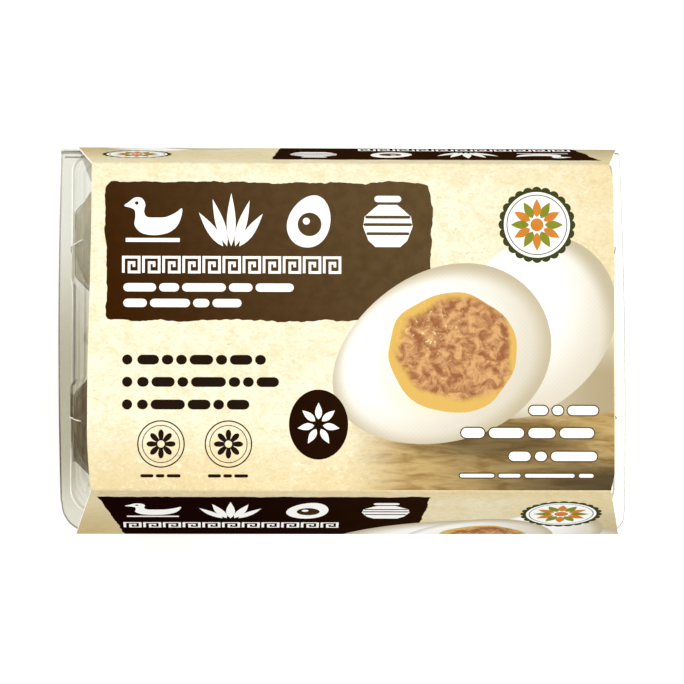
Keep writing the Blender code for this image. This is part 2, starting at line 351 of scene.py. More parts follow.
def egg_white_look(name, cut):
    look = picture_look(name)
    light = spot(look, -0.25, 0.35, 1.35, 1.35, 0.2)
    base = look.mix(light, srgb(214, 206, 186), srgb(252, 251, 246))
    base = look.mix(spot(look, 0.0, 0.0, 1.0, 1.0, 0.8, 1.02), srgb(190, 178, 148), base)
    if cut:
        well = spot(look, -0.02, 0.0, 0.66, 0.74, 0.72)
        base = look.over(base, srgb(236, 214, 160), well, 0.35)
    dots = look.node("TexChecker", {"Vector": look.place, "Scale": 1500.0})
    return look.painted(look.over(base, (0.2, 0.2, 0.2), dots.outputs["Fac"], 0.035))


def yolk_look():
    look = picture_look("printed_yolk", 0.42)
    lumps = look.span(look.noise(330.0, 5.0, 0.65, 0.6), 0.36, 0.66)
    base = look.mix(lumps, srgb(150, 94, 60), srgb(214, 166, 112))
    wander = look.span(look.noise(90.0, 3.0, 0.6), 0.3, 0.7, -0.12, 0.12)
    core = spot(look, 0.09, 0.06, 0.98, 0.98, 0.8, 0.96, look.plus(look.a, wander))
    base = look.mix(core, srgb(216, 176, 92), base)
    gleam = look.span(look.noise(900.0, 2.0, 0.5, 0.4), 0.6, 0.72)
    gleam = look.times(gleam, spot(look, -0.3, 0.35, 0.75, 0.65, 0.1))
    return look.painted(look.over(base, srgb(246, 226, 168), gleam, 0.85))


def ground_look():
    """The printed picture's table: paper above and at its left, then tan, then shade."""
    look = picture_look("printed_ground")
    a, b = look.a, look.b
    grain = look.noise(240.0, 4.0, 0.6, 0.8, look.stretched((0.35, 2.0, 1.0)))
    sand = look.mix(look.span(grain, 0.35, 0.7), srgb(196, 168, 112), srgb(150, 118, 66))
    low = look.times(look.span(a, -0.4, 1.0), look.span(b, 0.75, 0.0))
    wall = look.mix(low, srgb(240, 233, 212), srgb(172, 156, 122))
    line = look.plus(b, look.times(look.times(a, a), -0.05))
    base = look.mix(look.span(line, -0.34, -0.4), wall, sand)
    under = spot(look, 0.18, -0.58, 0.95, 0.3, 0.25)
    base = look.over(base, srgb(62, 48, 30), under, 0.75)
    band = look.times(look.span(b, -0.6, -0.96), look.span(a, -0.7, 0.9))
    base = look.over(base, srgb(64, 53, 38), band, 0.92)
    corner = look.times(look.span(a, -1.0, -0.45), look.span(b, 1.0, 0.2))
    return look.painted(look.mix(corner, paper_colour(look), base))


def board_look():
    """The sleeve's unprinted inside; its glow stands for light that comes through thin board."""
    look = Look("board_inside", 0.75, 0.2)
    look.set("Emission Color", (1.0, 0.97, 0.9))
    look.set("Emission Strength", 0.28)
    grain = look.noise(700.0, 4.0, 0.65, 1.2)
    look.bump(grain, 0.12, 0.0003)
    return look.painted(
        look.mix(look.span(grain, 0.35, 0.7), srgb(250, 247, 238), srgb(236, 230, 215))
    )


def gloom(look):
    """Painted shade on the sheet: most in the middle of the -X end, none at +X."""
    back = look.span(look.y, 0.032, -0.008)
    front = look.span(look.y, -0.05, -0.031, 0.22, 1.0)
    return look.times(look.math("MINIMUM", back, front), look.span(look.x, 0.055, -0.066))


def foot_gloom(look):
    """The same painted shade for the wall's foot, whose painted highlight stays bright higher up.
    """
    back = look.span(look.y, 0.03, -0.004)
    front = look.span(look.y, -0.035, -0.027)
    low = look.times(look.span(look.x, 0.055, -0.066), look.span(look.z, 0.0318, 0.0302))
    return look.times(look.math("MINIMUM", back, front), low)


def cell_gloom(look):
    """Painted reflection: how much of the dark eggs of the front row the cells mirror."""
    return look.times(look.span(look.x, 0.055, -0.066), look.span(look.y, 0.014, -0.008))


def edge_gloom(look):
    """Painted shade for cut edges and creases, darkest beside the front egg."""
    back = look.span(look.y, 0.06, 0.01, 0.3, 0.62)
    along = look.plus(back, look.span(look.y, -0.012, -0.027, 0.0, 0.38))
    along = look.math("SUBTRACT", along, look.span(look.y, -0.036, -0.046, 0.0, 0.3))
    return look.times(look.span(look.x, 0.06, -0.07), along)


def sheet_look(
    name, gloom_of, square, edge_on, glint, body=None, cover=None, power=5.0, fade=0.0,
):
    """Thin clear sheet. square and edge_on hold its tint where it is bright and where it
    is in gloom, the painted shade that gloom_of lays on by place, and cover holds how much
    of the body's colour, a painted highlight or shade, shows there. power says how near to
    edge-on that tint starts, and fade how far gloom dulls the glints."""
    look = Look(name, 0.35, 0.4)
    bent = look.bump(look.noise(70.0, 2.0), 0.05, 0.0015)
    facing = look.node("LayerWeight", {"Normal": bent}).outputs["Facing"]
    deep = look.math("POWER", facing, power)
    dark = gloom_of(look)
    tint = look.mix(deep, look.mix(dark, *square), look.mix(dark, *edge_on))
    through = look.node("BsdfTransparent", {"Color": tint}).outputs[0]
    gloss = {"Color": (1.0, 1.0, 0.98), "Roughness": 0.08, "Normal": bent}
    mirror = look.node("BsdfGlossy", gloss).outputs[0]
    most = look.span(look.x, 0.03, 0.07, 0.2, 0.03)
    share = look.plus(look.times(deep, look.math("SUBTRACT", most, glint)), glint)
    share = look.times(share, look.span(dark, 0.0, 1.0, 1.0, 1.0 - fade, soft=False))
    sheet = look.node("MixShader", {0: share, 1: through, 2: mirror}).outputs[0]
    # The body is a partly opaque layer whose colour paints highlight or shade
    if body:
        body_mottle = look.noise(500.0, 3.0)
        look.set("Base Color", look.mix(body_mottle, look.mix(dark, *body), look.mix(0.5, *body)))
        shown = look.span(dark, 0.0, 1.0, *cover, soft=False)
        both = {0: shown, 1: sheet, 2: look.shader.outputs[0]}
        sheet = look.node("MixShader", both).outputs[0]
    else:
        look.tree.nodes.remove(look.shader)
    look.put(look.tree.nodes["Material Output"].inputs[0], sheet)
    return look.made


def shell_look(number, shade):
    """Duck shell: grey with a green cast, clouded, flecked; shade is 0 pale to 1 dark."""
    look = Look(f"duck_egg_shell_{number}", 0.5, 0.35)
    pale, dark = srgb(188, 180, 154), srgb(87, 62, 31)
    low, high = (
        tuple(p + (d - p) * share for p, d in zip(pale, dark))
        for share in (max(0.0, shade - 0.18), min(1.0, shade + 0.18))
    )
    cloud = look.noise(38.0, 4.0, 0.6, 0.6)
    base = look.mix(look.span(cloud, 0.3, 0.7), low, high)
    fleck = look.span(look.noise(480.0, 3.0, 0.6), 0.58, 0.72)
    base = look.over(base, srgb(84, 70, 48), fleck, 0.45)
    streaked = look.stretched((2.2, 0.9, 1.0), 0.9)
    smear = look.span(look.noise(190.0, 5.0, 0.7, 1.8, streaked), 0.5, 0.62)
    base = look.over(base, srgb(206, 198, 173), smear, 0.6 - 0.38 * shade)
    # Painted shadow of the card's edge on the shell, stronger on the darker eggs
    under = look.span(look.math("ABSOLUTE", look.x), 0.0728, 0.07)
    base = look.over(base, srgb(72, 56, 38), under, max(0.0, 0.9 * shade - 0.2))
    pores = look.noise(1500.0, 2.0)
    look.bump(look.plus(look.times(pores, 0.4), cloud), 0.18, 0.0004)
    return look.painted(base)


# Card sleeve: its outline seen from the end, unrolled from the flap to the seam


def left_length(y, z, half):
    """The -X end is cut a little askew: shorter at the back, rounder at the front."""
    if z < HEIGHT - 1.5:
        return half
    back = ASKEW_BACK * smooth(-20.0, 34.0, y)
    front = ASKEW_FRONT * max(0.0, 1 - (y + TOP_HALF) / 15.0) ** 1.4
    return FACE_LENGTH - max(back, front)


def sleeve_stations():
    """(v, y, z, right length, left length) of each line across the card; v is 0 mid top face."""
    corners = [
        (FLAP_Y, FLAP_Z, FLAP_LENGTH), (FOOT_HALF, FLAP_Z, CREASE_LENGTH),
        (FOLD_HALF, FOLD_Z, FOLD_LENGTH), (TOP_HALF, HEIGHT, CREASE_LENGTH),
        (-TOP_HALF, HEIGHT, CREASE_LENGTH), (-FOLD_HALF, FOLD_Z, FOLD_LENGTH),
        (-FOOT_HALF, 0.0, CREASE_LENGTH), (SEAM_Y, 0.0, FACE_LENGTH),
    ]
    rows = [corners[0]]
    for before, corner, after in zip(corners, corners[1:], corners[2:]):
        here = Vector(corner[:2])
        back = (Vector(before[:2]) - here).normalized()
        on = (Vector(after[:2]) - here).normalized()
        run = CREASE_ROUND / tan(back.angle(on) / 2)
        for i in range(CREASE_STEPS + 1):
            t = i / CREASE_STEPS
            point = here + back * run * (1 - t) ** 2 + on * run * t**2
            rows.append((point.x, point.y, corner[2]))
        if corner[1] == after[1]:
            width = abs(after[0] - corner[0])
            last = after is corners[-1]
            for i in range(1, PANEL_STEPS):
                d = width * i / PANEL_STEPS
                near = max(0.0, 1 - (d if last else min(d, width - d)) / NOTCH_REACH)
                half = FACE_LENGTH - (FACE_LENGTH - CREASE_LENGTH) * near**2
                share = d / width
                bow = 0.0 if last else TOP_BOW * (1 - (2 * share - 1) ** 2)
                rows.append((here.x + (after[0] - here.x) * share, here.y + bow, half))
    rows.append(corners[-1])
    along = [0.0]
    for (y0, z0, _), (y1, z1, _) in zip(rows, rows[1:]):
        along.append(along[-1] + hypot(y1 - y0, z1 - z0))
    top = [v for v, row in zip(along, rows) if row[1] >= HEIGHT - 1e-6]
    middle = (top[0] + top[-1]) / 2
    return [(middle - v, *row, left_length(*row)) for v, row in zip(along, rows)]


STATIONS = sleeve_stations()


def on_sleeve(u, v):
    """The place in space of a point of the unrolled sheet."""
    for (v0, y0, z0, *ends), (v1, y1, z1, *ends) in zip(STATIONS, STATIONS[1:]):
        if v >= v1 - 1e-9:
            break
    t = (v - v0) / (v1 - v0)
    return (SLEEVE_X + u, y0 + (y1 - y0) * t, z0 + (z1 - z0) * t)


# Printed shapes, in millimetres on a panel, +b up as it is read


def egg_shape(a, b, length, breadth, turn):
    """An egg whose blunt end points along turn."""
    outline = [
        (length / 2 * cos(w), breadth / 2 * sin(w) * (1 + 0.12 * cos(w)))
        for w in angles(72)
    ]
    return turned(outline, a, b, turn)


def bar(a0, a1, b, height):
    r = height / 2
    return arc(a1 - r, b, r, -pi / 2, pi, 6) + arc(a0 + r, b, r, pi / 2, pi, 6)


def rounded_box(a0, b0, a1, b1, r):
    corners = ((a1 - r, b1 - r), (a0 + r, b1 - r), (a0 + r, b0 + r), (a1 - r, b0 + r))
    quarter = pi / 2
    return [p for k, at in enumerate(corners) for p in arc(*at, r, quarter * k, quarter, 4)]


def torn(line, rough, seed):
    """An anticlockwise outline with an uneven brushed edge."""
    line = [Vector(p) for p in line]
    points = []
    for p, q in zip(line, line[1:] + line[:1]):
        count = max(1, round((q - p).length / 0.8))
        points += [p.lerp(q, i / count) for i in range(count)]
    found = []
    for i, p in enumerate(points):
        across = points[(i + 1) % len(points)] - points[i - 1]
        out = Vector((across.y, -across.x)).normalized()
        slow = noise.noise(Vector((p.x / 7, p.y / 7, seed)))
        quick = noise.noise(Vector((p.x / 1.6, p.y / 1.6, seed + 5)))
        found.append(tuple(p + out * rough * (slow + 0.55 * quick)))
    return found


def petals(a, b, count, inner, outer):
    points = []
    for w in angles(count * 8):
        r = inner + (outer - inner) * abs(cos(count * w / 2)) ** 0.7
        points.append((a + r * cos(w), b + r * sin(w)))
    return points


def stroke(points, width):
    """A line of square corners and ends, as an outline."""
    path = [Vector(p) for p in points]
    sides = ([], [])
    for i, p in enumerate(path):
        ahead = (path[min(i + 1, len(path) - 1)] - path[min(i, len(path) - 2)]).normalized()
        behind = (path[max(i, 1)] - path[max(i - 1, 0)]).normalized()
        mitre = (ahead + behind).normalized()
        reach = width / 2 / max(0.3, mitre.dot(ahead))
        out = Vector((-mitre.y, mitre.x)) * reach
        sides[0].append(tuple(p + out))
        sides[1].append(tuple(p - out))
    return sides[0] + sides[1][::-1]


def curve_through(points):
    """A closed smooth line through the given points."""
    found = []
    steps, count = 5, len(points)
    for i in range(count):
        p = [Vector(points[(i + k - 1) % count]) for k in range(4)]
        for j in range(steps):
            t = j / steps
            q = 0.5 * (
                2 * p[1] + (p[2] - p[0]) * t
                + (2 * p[0] - 5 * p[1] + 4 * p[2] - p[3]) * t**2
                + (3 * p[1] - p[0] - 3 * p[2] + p[3]) * t**3
            )
            found.append(tuple(q))
    return found


def leaf(a, b, length, width, turn):
    shares = [i / 8 for i in range(8)] + [1 - i / 8 for i in range(8)]
    points = []
    for i, t in enumerate(shares):
        side = 1 if i < 8 else -1
        points.append((length * t, side * width / 2 * sin(pi * t**0.8)))
    return turned(points, a, b, turn)


DUCK = (
    (-0.98, 0.56), (-0.8, 0.72), (-0.62, 0.86), (-0.38, 0.84), (-0.26, 0.62), (-0.3, 0.34),
    (-0.2, 0.14), (0.1, 0.12), (0.45, 0.14), (0.78, 0.3), (1.00, 0.46), (0.96, 0.1),
    (0.8, -0.24), (0.5, -0.46), (0.05, -0.54), (-0.38, -0.46), (-0.62, -0.18), (-0.6, 0.14),
    (-0.62, 0.38), (-0.76, 0.48),
)
# Right half of the jar, from its neck down
JAR = ((0.34, 0.62), (0.5, 0.5), (0.86, 0.18), (0.92, -0.2), (0.72, -0.72), (0.46, -0.96))
SPIRAL = ((0, 0), (0, 4), (4, 4), (4, 0.2), (1.45, 0.2), (1.45, 2.6), (2.7, 2.6), (2.7, 1.5))

# Middle of each panel on the unrolled sheet, and the way its print reads
TOP_PANEL = (0.0, 0.0, 1)
FRONT_PANEL = (0.0, -64.6, 1)
BACK_PANEL = (0.0, 68.4, -1)


class Print:
    """Shapes laid on the unrolled sheet, on the panel set last, the later ones on top."""

    def __init__(self):
        self.shapes = []
        self.panel = TOP_PANEL

    def add(self, outline, ink, picture=None):
        """picture is (a, b, half a, half b, turn) of the ink's own coordinates."""
        u, v, sign = self.panel
        placed = [(u + sign * a, v + sign * b) for a, b in outline]
        area = sum(p[0] * q[1] - p[1] * q[0] for p, q in zip(placed, placed[1:] + placed[:1]))
        if area < 0:
            placed.reverse()
        self.shapes.append((placed, ink, self.panel, picture))

    def disc(self, a, b, r, ink, steps=48):
        self.add(ellipse(a, b, r, r, steps), ink)

    def ring(self, a, b, r, width, ink, within):
        self.disc(a, b, r, ink)
        self.disc(a, b, r - width, within)


def block_signs(sheet, a, b, size):
    """Four plain signs in white on the brown block: duck, reeds, halved egg, jar."""
    gap = 21.5
    sheet.add(curve_through(scaled(DUCK, a, b, size, 1.08)), "white")
    sheet.disc(a - 0.6 * size, b + 0.66 * size, 0.5, "brown", 10)
    sheet.add(stroke(scaled(((-1, -0.72), (1, -0.72)), a, b, size), 1.1), "white")
    reeds = zip((-0.62, -0.3, 0.0, 0.3, 0.62), (1.55, 1.85, 2.0, 1.8, 1.5))
    for i, (lean, tall) in enumerate(reeds):
        foot = a + gap + (i - 2) * 1.1
        sheet.add(leaf(foot, b - 0.95 * size, size * tall, 2.5, pi / 2 - lean), "white")
    ea = a + 2 * gap
    sheet.add(egg_shape(ea, b, size * 2.0, size * 1.56, radians(250)), "white")
    sheet.disc(ea, b - 0.12 * size, size * 0.44, "brown")
    sheet.disc(ea - 0.12 * size, b, size * 0.13, "white")
    ja = a + 3 * gap
    jar = JAR[::-1] + tuple((-x, y) for x, y in JAR)
    sheet.add(scaled(jar, ja, b, size), "white")
    for y, reach, thick, ink in (
        (0.84, 0.5, 0.24, "white"), (0.16, 0.84, 0.11, "brown"), (-0.12, 0.9, 0.11, "brown"),
        (-0.46, 0.8, 0.11, "brown"),
    ):
        sheet.add(bar(ja - reach * size, ja + reach * size, b + y * size, thick * size), ink)


def key_band(sheet, a0, a1, b, size):
    """A band of square spirals, a traditional border."""
    pitch = size * 1.28
    for i in range(int((a1 - a0) / pitch)):
        sheet.add(stroke(scaled(SPIRAL, a0 + i * pitch, b, size / 4), 0.17 * size), "white")


def dashes(sheet, a, b, height, lengths, ink, gap=0.8, grow=0.0):
    for length in lengths:
        sheet.add(bar(a - grow / 2, a + length + grow / 2, b, height + grow), ink)
        a += length + gap


def rosette_badge(sheet, a, b):
    sheet.ring(a, b, 6.5, 0.35, "dark", "paper")
    sheet.ring(a, b, 5.2, 0.22, "dark", "paper")
    sheet.add(petals(a, b, 8, 1.3, 4.0), "dark")
    sheet.disc(a, b, 1.0, "paper", 20)


def round_seal(sheet, a, b, r):
    sheet.add(petals(a, b, 24, r * 0.93, r), "olive")
    sheet.disc(a, b, r * 0.86, "white")
    sheet.ring(a, b, r * 0.79, 0.25, "olive", "white")
    for i, w in enumerate(angles(12)):
        ca, cb = a + r * 0.2 * cos(w), b + r * 0.2 * sin(w)
        sheet.add(leaf(ca, cb, r * 0.48, r * 0.22, w), "orange" if i % 2 else "olive_pale")
    sheet.disc(a, b, r * 0.17, "orange", 24)


def egg_picture(sheet, a, b, size):
    """A whole egg behind a halved one."""
    whole = (a + 0.46 * size, b + 0.16 * size)
    outline = egg_shape(*whole, size * 1.04, size * 0.8, radians(62))
    sheet.add(outline, "egg_white", (*whole, size * 0.44, size * 0.52, 0.0))
    half, lean = (a - 0.04 * size, b), radians(24)
    outline = egg_shape(*half, size * 1.22, size * 0.92, lean)
    sheet.add(outline, "egg_cut", (*half, size * 0.62, size * 0.47, lean))
    ya, yb = half[0] + 0.07 * size * cos(lean), half[1] + 0.07 * size * sin(lean)
    yolk = []
    for w in angles(64):
        way = Vector((cos(w) * 1.8, sin(w) * 1.8, 3.0))
        r = 0.32 * size * (1 + 0.07 * noise.noise(way))
        yolk.append((ya + r * 1.08 * cos(w), yb + r * sin(w)))
    sheet.add(yolk, "yolk", (ya, yb, 0.345 * size, 0.32 * size, 0.0))


# Lines of bars and dots: their places and the lengths in each
HEADING = (9.0, 5.5, 12.0, 6.5, 10.5)
SUBHEADING = (6.5, 11.0, 4.5, 8.0)
LISTED = (
    (-9.3, (6.0, 3.2, 3.0, 6.5, 3.1, 6.2, 3.0)),
    (-15.4, (3.2, 6.4, 3.0, 9.6, 3.2, 3.0, 6.2)),
    (-21.6, (3.0, 9.4, 6.3, 3.0, 6.2)),
)
OUTLINED = (
    (48.6, -23.0, 2.5, (5.2, 3.0, 8.4)),
    (30.0, -29.2, 2.7, (6.4, 9.6, 7.4, 9.4)),
    (43.0, -35.6, 2.5, (6.0, 3.2, 12.6)),
    (29.6, -40.9, 1.0, (9.4, 6.0, 13.6, 4.0)),
)


def lay_print():
    sheet = Print()
    ground = [(-4.0, -44.9), (71.95, -44.9), (71.95, 15.5), (-4.0, 15.5)]
    sheet.add(ground, "ground", (34.0, -14.0, 38.1, 29.6, 0.0))
    sheet.add(torn(rounded_box(-67.3, 1.5, 22.0, 39.8, 2.2), 0.75, 1.0), "brown")
    block_signs(sheet, -54.5, 29.0, 7.4)
    key_band(sheet, -62.5, 1.0, 14.6, 4.3)
    dashes(sheet, -62.5, 10.6, 2.3, HEADING, "white")
    dashes(sheet, -62.5, 6.3, 2.3, SUBHEADING, "white")
    egg_picture(sheet, 26.5, -8.5, 51.0)
    for b, lengths in LISTED:
        sheet.disc(-61.3, b, 1.4, "dark", 28)
        dashes(sheet, -58.6, b, 2.7, lengths, "dark", 0.7)
    for a in (-52.0, -33.6):
        rosette_badge(sheet, a, -32.4)
        dashes(sheet, a - 5.6, -41.1, 0.9, (3.6, 2.4, 3.8), "dark", 0.6)
    sheet.add(ellipse(-9.0, -27.0, 8.1, 9.6), "brown_deep")
    for i in range(7):
        w = radians(-60 + 50 * i)
        at = (-9.0 + 1.2 * cos(w), -27.0 + 1.4 * sin(w))
        sheet.add(leaf(*at, 4.6, 1.9, w), "white")
    round_seal(sheet, 51.0, 28.2, 10.6)
    for a, b, height, lengths in OUTLINED:
        for grow, ink in ((0.7, "brown"), (0.0, "white")):
            dashes(sheet, a, b, height, lengths, ink, 1.2, grow)
    for sheet.panel in (FRONT_PANEL, BACK_PANEL):
        front = sheet.panel is FRONT_PANEL
        slanted = [(-69.6, 14.2), (-61.2, -27.0), (18.0, -27.0), (22.0, 14.2)]
        sheet.add(torn(slanted, 0.7, 4.0 + sheet.panel[2]), "brown_deep")
        block_signs(sheet, -54.5, 2.0, 7.2)
        key_band(sheet, -62.5, 1.0, -13.2, 4.3)
        dashes(sheet, -62.5, -21.5, 2.3, HEADING, "white")
        if front:
            plate = (40.0, -36.0, 50.0, 30.0)
            outline = [(a, max(b, -49.0)) for a, b in ellipse(*plate)]
            sheet.add(outline, "egg_white", (*plate, 0.0))
        egg_picture(sheet, 37.0, -24.5 if front else -30.0, 38.0)
        round_seal(sheet, *((58.8, -0.6, 11.4) if front else (59.4, 2.0, 9.9)))
    return sheet.shapes


def make_sleeve():
    inks = {
        "paper": paper_look(),
        "brown": ink_look("printed_brown", srgb(52, 25, 2), srgb(92, 72, 45)),
        "brown_deep": ink_look("printed_dark_brown", srgb(22, 6, 3), srgb(44, 24, 8)),
        "white": ink_look("printed_white", srgb(250, 249, 244), mottling=0.04),
        "dark": ink_look("printed_black", srgb(34, 22, 14)),
        "olive": ink_look("printed_olive", srgb(62, 66, 34)),
        "olive_pale": ink_look("printed_green", srgb(132, 138, 44)),
        "orange": ink_look("printed_orange", srgb(206, 130, 52)),
        "egg_white": egg_white_look("printed_egg", False),
        "egg_cut": egg_white_look("printed_half_egg", True),
        "yolk": yolk_look(),
        "ground": ground_look(),
        "inside": board_look(),
    }
    names = list(inks)
    shapes = lay_print()
    count = len(STATIONS)
    coords = [(right, v) for v, y, z, right, left in STATIONS]
    coords += [(-left, v) for v, y, z, right, left in STATIONS]
    edges = [(i, count + i) for i in range(count)]
    faces = [[*range(count, 2 * count), *reversed(range(count))]]
    for outline, *_ in shapes:
        faces.append(list(range(len(coords), len(coords) + len(outline))))
        coords += outline
    places, _, triangles, _, _, owners = delaunay_2d_cdt(
        [Vector(c) for c in coords], edges, faces, 1, 1e-5, True
    )
    bm = bmesh.new()
    uv = bm.loops.layers.uv.new("picture")
    verts = [bm.verts.new(on_sleeve(p.x, p.y)) for p in places]
    for corner, owner in zip(triangles, owners):
        if 0 not in owner:
            continue
        face = bm.faces.new([verts[i] for i in corner])
        top = max(owner)
        ink, panel, picture = shapes[top - 1][1:] if top else ("paper", TOP_PANEL, None)
        face.material_index = names.index(ink)
        if not picture:
            continue
        a0, b0, ra, rb, turn = picture
        c, s = cos(turn), sin(turn)
        for loop, i in zip(face.loops, corner):
            a = (places[i].x - panel[0]) * panel[2] - a0
            b = (places[i].y - panel[1]) * panel[2] - b0
            loop[uv].uv = ((a * c + b * s) / ra, (b * c - a * s) / rb)
    loose = [v for v in bm.verts if not v.link_faces]
    bmesh.ops.delete(bm, geom=loose, context="VERTS")
    obj = mesh_object("printed_sleeve", bm, inks.values())
    card = obj.modifiers.new("Card", "SOLIDIFY")
    card.thickness = CARD * MM
    card.material_offset = len(inks)
    card.material_offset_rim = len(inks)
    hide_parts("sleeve")


# Clear box

CORNER_STEPS = 10
END_STEPS = 120
SIDE_STEPS = 12


def box_outline(hx, hy, back_r, front_r, front_right_r, shape, shift_y=0.0):
    """A rounded rectangle, anticlockwise from the +X end's back corner. shape(y) moves
    its ends out."""
    def corner_radius(sx, sy):
        return back_r if sy > 0 else front_right_r if sx > 0 else front_r

    points = []
    for turn, (sx, sy) in enumerate(((1, 1), (-1, 1), (-1, -1), (1, -1))):
        r = corner_radius(sx, sy)
        x0, y0 = sx * (hx - r), sy * (hy - r)
        points += arc(x0, shift_y + y0, r, pi / 2 * turn, pi / 2, CORNER_STEPS)
        if turn in (1, 3):
            y1 = -sy * (hy - corner_radius(sx, -sy))
            for i in range(1, END_STEPS):
                y = y0 + (y1 - y0) * i / END_STEPS
                points.append((sx * (hx + shape(y)), shift_y + y))
        else:
            x1 = -sx * (hx - corner_radius(-sx, sy))
            for i in range(1, SIDE_STEPS):
                points.append((x0 + (x1 - x0) * i / SIDE_STEPS, shift_y + sy * hy))
    return points


def panel_edge(side, up):
    """Y of the raised panel's back or front edge, which bend as they rise."""
    if side > 0:
        return 22.6 + 1.65 * (1 - exp(-up / 4.5))
    return -22.75 - 0.17 * up + 0.0018 * up**2


def end_relief(y, up):
    """A raised panel on each end wall, and its flute."""
    side = 1 if y > 0 else -1
    panel = smooth(0.5, -0.2, side * (y - panel_edge(side, up)))
    return PANEL_RELIEF * panel - FLUTE_RELIEF * smooth(15.4, 13.4, abs(y))


def wall_ring(inset_x, inset_y, shift_y, relief, up=0.0):
    return box_outline(
        WALL_X - inset_x, WALL_Y - inset_y, WALL_BACK_R, WALL_FRONT_R, WALL_FRONT_R,
        lambda y: relief * end_relief(y, up), shift_y,
    )


def flange_outline():
    """The flange isn't quite square: its ends swing to -X at the back."""
    ring = box_outline(
        FLANGE_X - FLANGE_BOW, FLANGE_Y, FLANGE_BACK_R, FLANGE_FRONT_R, FLANGE_FRONT_RIGHT_R,
        lambda y: FLANGE_BOW * (1 - (y / FLANGE_Y) ** 2),
    )
    found = []
    for x, y in ring:
        swing = -0.3 - 0.0065 * y if x < 0 else -0.006 * y
        front = FLANGE_FRONT_OUT * smooth(0.0, -50.0, y)
        found.append((x + swing * smooth(60.0, 76.0, abs(x)), y - front))
    return found


FLANGE_RING = flange_outline()
# Shares of the way from the flange's cut edge to the wall's foot, and the lip's drops
FLANGE_SHARES = (0.07, 0.11, 0.15, 0.2, 0.27, 0.34, 0.41, 0.48, 0.55, 0.62, 0.7, 0.8)
LIP = ((0.0, -0.42), (0.012, -0.3), (0.03, -0.14), (0.05, -0.04))
LIP_BANDS = len(LIP) - 1
FLANGE_BANDS = LIP_BANDS + len(FLANGE_SHARES)
FOOT_BANDS = 5
# How far outside the wall's foot the sheet is as it turns up or down from the flange
LID_TURN = ((0.45, 0.0), (0.3, 0.03), (0.16, 0.12), (0.06, 0.28), (0.01, 0.48))
TRAY_TURN = ((0.45, 0.0), (0.3, -0.03), (0.15, -0.14), (0.05, -0.35), (0.0, -0.7))


def flange_rings(z, turn):
    """From the flange's cut edge, over its rolled lip, in to the wall and into its turn."""
    foot = wall_ring(-0.45, -0.45, BOX_SHIFT_Y, FOOT_RELIEF)
    rings = []
    for share, drop in LIP + tuple((share, 0.0) for share in FLANGE_SHARES):
        pairs = zip(FLANGE_RING, foot)
        ring = [(a + (c - a) * share, b + (d - b) * share) for (a, b), (c, d) in pairs]
        rings.append((ring, z + drop))
    for out, up in turn:
        rings.append((wall_ring(-out, -out, BOX_SHIFT_Y, FOOT_RELIEF), z + up))
    return rings


def band_faces(bm, first, last, wanted=lambda c: True):
    """Faces of a lofted sheet from one ring to another, counted from its cut edge."""
    bm.faces.ensure_lookup_table()
    faces = bm.faces[first * len(FLANGE_RING) : last * len(FLANGE_RING)]
    return [face for face in faces if wanted(face.calc_center_median())]


def flange_faces(bm):
    return [
        (CUT_EDGE, band_faces(bm, 0, LIP_BANDS)),
        (GLARE_EDGE, band_faces(bm, 0, LIP_BANDS, lambda c: c.x > 0)),
        (FLANGE, band_faces(bm, LIP_BANDS, FLANGE_BANDS + 1)),
    ]


def sheet_object(name, bm, faces_by_look, rim_step=0, thickness=SHEET):
    """rim_step leads from a face's look to that of its cut edge, in SHEET_LOOKS."""
    for look, faces in faces_by_look:
        for face in faces:
            face.material_index = SHEET_LOOKS.index(look)
    obj = round_object(name, bm, SHEET_LOOKS)
    skin = obj.modifiers.new("Sheet", "SOLIDIFY")
    skin.thickness = thickness * MM
    skin.material_offset_rim = rim_step
    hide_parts("clear_box")


# Height, insets along X and Y, shift along Y and share of the relief
LID_PLAN = (
    (29.2, 0.0, 0.0, BOX_SHIFT_Y, FOOT_RELIEF), (30.2, 0.02, 0.03, 1.48, 0.55),
    (31.6, 0.05, 0.06, 1.45, 1.0), (38.9, 0.3, 0.35, 1.3, 1.0), (39.4, 0.85, 0.8, 1.25, 1.0),
    (45.4, 1.7, 1.9, 1.0, 0.9), (45.7, 1.98, 2.15, 1.0, 0.9), (51.6, 2.8, 3.3, 0.8, 0.7),
    (51.9, 3.08, 3.55, 0.8, 0.7), (59.0, 4.25, 5.0, 0.5, 0.3),
)
LID_FOOT = LID_PLAN[0][0]


def make_lid():
    bm = bmesh.new()
    rings = flange_rings(LID_FLANGE_Z, LID_TURN)
    rings.append((wall_ring(*LID_PLAN[0][1:]), LID_FOOT))
    for low, high in zip(LID_PLAN, LID_PLAN[1:]):
        steps = max(1, round((high[0] - low[0]) / 3.0))
        for i in range(1, steps + 1):
            z, *row = [a + (b - a) * i / steps for a, b in zip(low, high)]
            rings.append((wall_ring(*row, z - LID_FOOT), z))
    shoulder, inset_x, inset_y, shift_y, relief = LID_PLAN[-1]
    for i in range(1, 9):
        w = pi / 2 * i / 8
        turn_in = LID_TOP_ROUND * (1 - cos(w))
        ring = wall_ring(
            inset_x + turn_in, inset_y + turn_in, shift_y, relief * (1 - i / 8),
            shoulder - LID_FOOT,
        )
        rings.append((ring, shoulder + (LID_TOP - shoulder) * sin(w)))
    bm.faces.new(loft(bm, rings))
    # The wall's foot takes a painted highlight, and the flute's foot at the -X end painted shade
    foot = band_faces(bm, FLANGE_BANDS + 2, FLANGE_BANDS + FOOT_BANDS)
    flute = band_faces(
        bm, FLANGE_BANDS + 3, FLANGE_BANDS + FOOT_BANDS + 2,
        lambda c: c.x < 0 and abs(c.y - BOX_SHIFT_Y) < 14.5,
    )
    sheet_object("clear_lid", bm, flange_faces(bm) + [(PAINTED_HIGHLIGHT, foot), (SHADED_CREASE, flute)])


